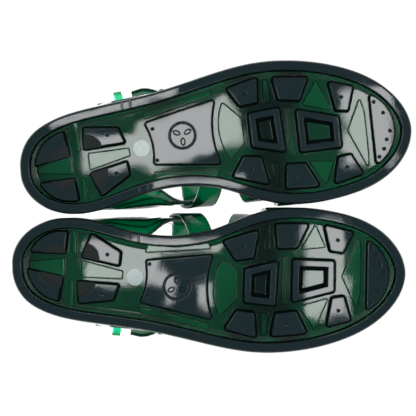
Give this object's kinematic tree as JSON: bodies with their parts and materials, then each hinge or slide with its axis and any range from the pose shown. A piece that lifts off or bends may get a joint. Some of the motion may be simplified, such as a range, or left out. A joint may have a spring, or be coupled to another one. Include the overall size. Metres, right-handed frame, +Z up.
{
  "type": "strap sandal pair",
  "caption": "Pair of moulded see-through strap sandals with deep-treaded cup soles, crossed vamp straps, heel counters and buckled ankle straps.",
  "frame": {"origin": "middle of the pair's bounding box at ground level", "axes": "+X towards the toes, +Y towards the left sandal, +Z up from the ground"},
  "size_m": [0.2935, 0.2114, 0.1036],
  "materials": {
    "sole_rubber": "glossy see-through bottle green, near black where thick",
    "footbed_rubber": "satin bottle green",
    "strap_rubber": "glossy see-through emerald green",
    "buckle_plastic": "glossy see-through turquoise green",
    "prong_metal": "satin metal",
    "sticker": "clear glossy film"
  },
  "bodies": {
    "right_sandal": {"right_outsole": "sole_rubber", "right_footbed": "footbed_rubber", "right_size_sticker": "sticker", "right_heel_counter": "strap_rubber", "right_inner_stay": "strap_rubber", "right_outer_stay": "strap_rubber", "right_vamp_strap_under": "strap_rubber", "right_vamp_strap_over": "strap_rubber", "right_buckle_pin": "prong_metal"},
    "right_ankle_strap_body": {"right_ankle_strap": "strap_rubber"},
    "right_buckle_frame_body": {"right_buckle_frame": "buckle_plastic"},
    "right_buckle_prong_body": {"right_buckle_prong": "prong_metal"},
    "right_strap_keeper_body": {"right_strap_keeper": "buckle_plastic"},
    "left_sandal": {"left_outsole": "sole_rubber", "left_footbed": "footbed_rubber", "left_size_sticker": "sticker", "left_heel_counter": "strap_rubber", "left_inner_stay": "strap_rubber", "left_outer_stay": "strap_rubber", "left_vamp_strap_under": "strap_rubber", "left_vamp_strap_over": "strap_rubber", "left_buckle_pin": "prong_metal"},
    "left_ankle_strap_body": {"left_ankle_strap": "strap_rubber"},
    "left_buckle_frame_body": {"left_buckle_frame": "buckle_plastic"},
    "left_buckle_prong_body": {"left_buckle_prong": "prong_metal"},
    "left_strap_keeper_body": {"left_strap_keeper": "buckle_plastic"}
  },
  "joints": [
    {"name": "right_ankle_strap_flex", "type": "hinge", "parent": "right_sandal", "child": "right_ankle_strap_body", "pos_m": [-0.01677, -0.0061, 0.06571], "axis": [-0.9898, 0.0053, 0.1425], "range_deg": [0, 50]},
    {"name": "right_buckle_swing", "type": "hinge", "parent": "right_sandal", "child": "right_buckle_frame_body", "pos_m": [-0.0339, -0.08871, 0.054], "axis": [0, 0, -1], "range_deg": [0, 70]},
    {"name": "right_prong_swing", "type": "hinge", "parent": "right_buckle_frame_body", "child": "right_buckle_prong_body", "pos_m": [-0.0339, -0.08871, 0.054], "axis": [0, 0, -1], "range_deg": [0, 50]},
    {"name": "right_keeper_slide", "type": "slide", "parent": "right_sandal", "child": "right_strap_keeper_body", "axis": [0.9905, -0.1377, 0], "range_m": [0, 0.005]},
    {"name": "left_ankle_strap_flex", "type": "hinge", "parent": "left_sandal", "child": "left_ankle_strap_body", "pos_m": [-0.02577, 0.0061, 0.06571], "axis": [0.9898, 0.0053, -0.1425], "range_deg": [0, 50]},
    {"name": "left_buckle_swing", "type": "hinge", "parent": "left_sandal", "child": "left_buckle_frame_body", "pos_m": [-0.0429, 0.08871, 0.054], "axis": [0, 0, 1], "range_deg": [0, 70]},
    {"name": "left_prong_swing", "type": "hinge", "parent": "left_buckle_frame_body", "child": "left_buckle_prong_body", "pos_m": [-0.0429, 0.08871, 0.054], "axis": [0, 0, 1], "range_deg": [0, 50]},
    {"name": "left_keeper_slide", "type": "slide", "parent": "left_sandal", "child": "left_strap_keeper_body", "axis": [0.9905, 0.1377, 0], "range_m": [0, 0.005]},
    {"name": "left_sandal_lift", "type": "slide", "parent": "right_sandal", "child": "left_sandal", "axis": [0, 0, 1], "range_m": [0, 0.15]}
  ]
}
